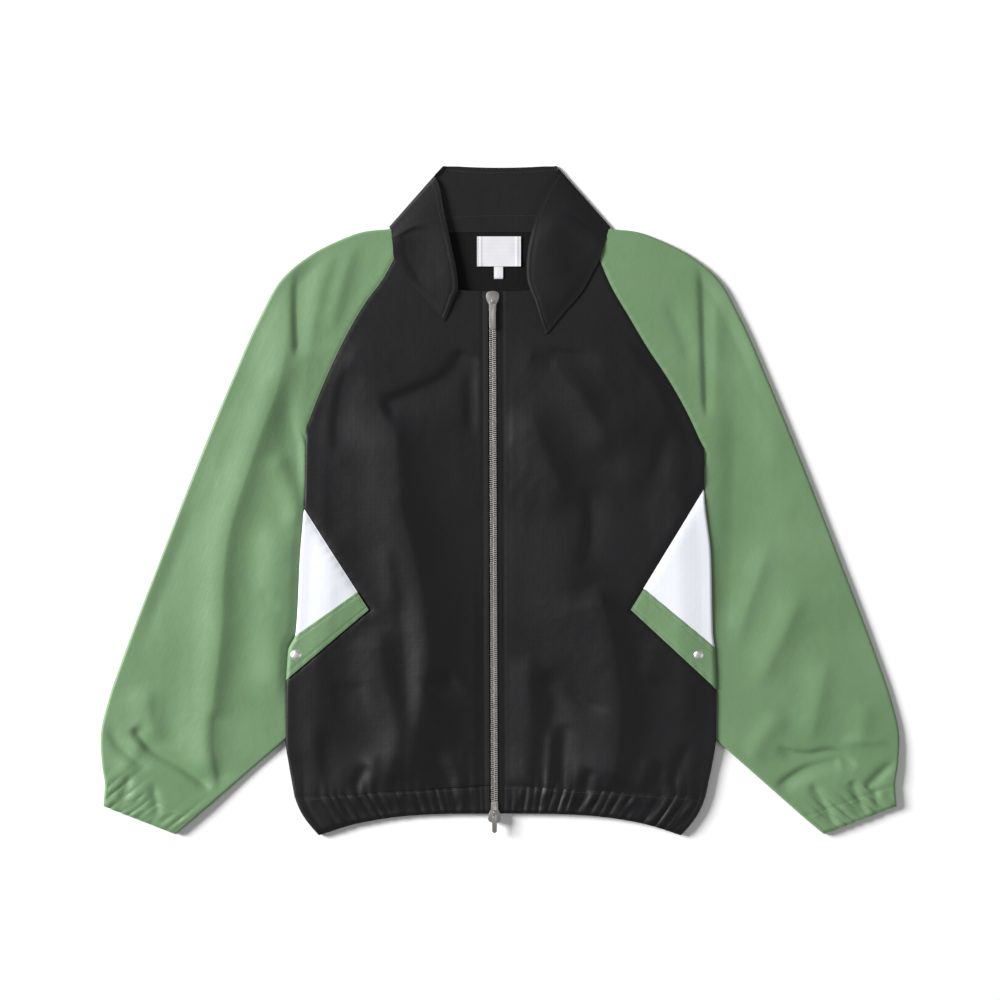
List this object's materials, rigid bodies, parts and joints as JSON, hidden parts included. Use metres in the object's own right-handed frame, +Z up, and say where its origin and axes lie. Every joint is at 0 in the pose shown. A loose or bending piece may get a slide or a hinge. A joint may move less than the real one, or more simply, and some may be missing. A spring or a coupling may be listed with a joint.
{
  "type": "track jacket",
  "caption": "Zip-front raglan track jacket laid flat, with a dark body, green sleeves and pocket welts, white side inserts and elastic hem and cuffs.",
  "frame": {"origin": "centre of the laid-out jacket's plan, on the surface that it lies on", "axes": "+X to the viewer's right across the sleeves, +Y to the collar, +Z up from the surface through the front"},
  "size_m": [0.9196, 0.7688, 0.0156],
  "materials": {
    "black_nylon": "matt woven nylon with a faint sheen",
    "green_nylon": "matt woven nylon with a faint sheen",
    "white_nylon": "matt woven nylon",
    "label_satin": "smooth woven label, bare",
    "bright_metal": "polished nickel",
    "chain_metal": "worn metal teeth"
  },
  "bodies": {
    "jacket": {"back_panel": "black_nylon", "front_left": "black_nylon", "front_right": "black_nylon", "hem_front_left": "black_nylon", "hem_front_right": "black_nylon", "hem_back": "black_nylon", "collar": "black_nylon", "zip_tape_left": "black_nylon", "zip_tape_right": "black_nylon", "sleeve_left": "green_nylon", "sleeve_right": "green_nylon", "cuff_left": "green_nylon", "cuff_right": "green_nylon", "welt_left": "green_nylon", "welt_right": "green_nylon", "insert_left": "white_nylon", "insert_right": "white_nylon", "label": "label_satin", "size_tab": "label_satin", "snap_left": "bright_metal", "snap_right": "bright_metal", "slider_top": "bright_metal", "slider_bottom": "bright_metal", "zip_chain": "chain_metal"},
    "top_pull": {"pull_top": "bright_metal"},
    "bottom_pull": {"pull_bottom": "bright_metal"}
  },
  "joints": [
    {"name": "top_pull_swing", "type": "hinge", "parent": "jacket", "child": "top_pull", "pos_m": [-0.00855, 0.22925, 0.01], "axis": [-1, 0, 0], "range_deg": [0, 165]},
    {"name": "bottom_pull_swing", "type": "hinge", "parent": "jacket", "child": "bottom_pull", "pos_m": [-0.00631, -0.3577, 0.0126], "axis": [-1, 0, 0], "range_deg": [0, 165]}
  ]
}
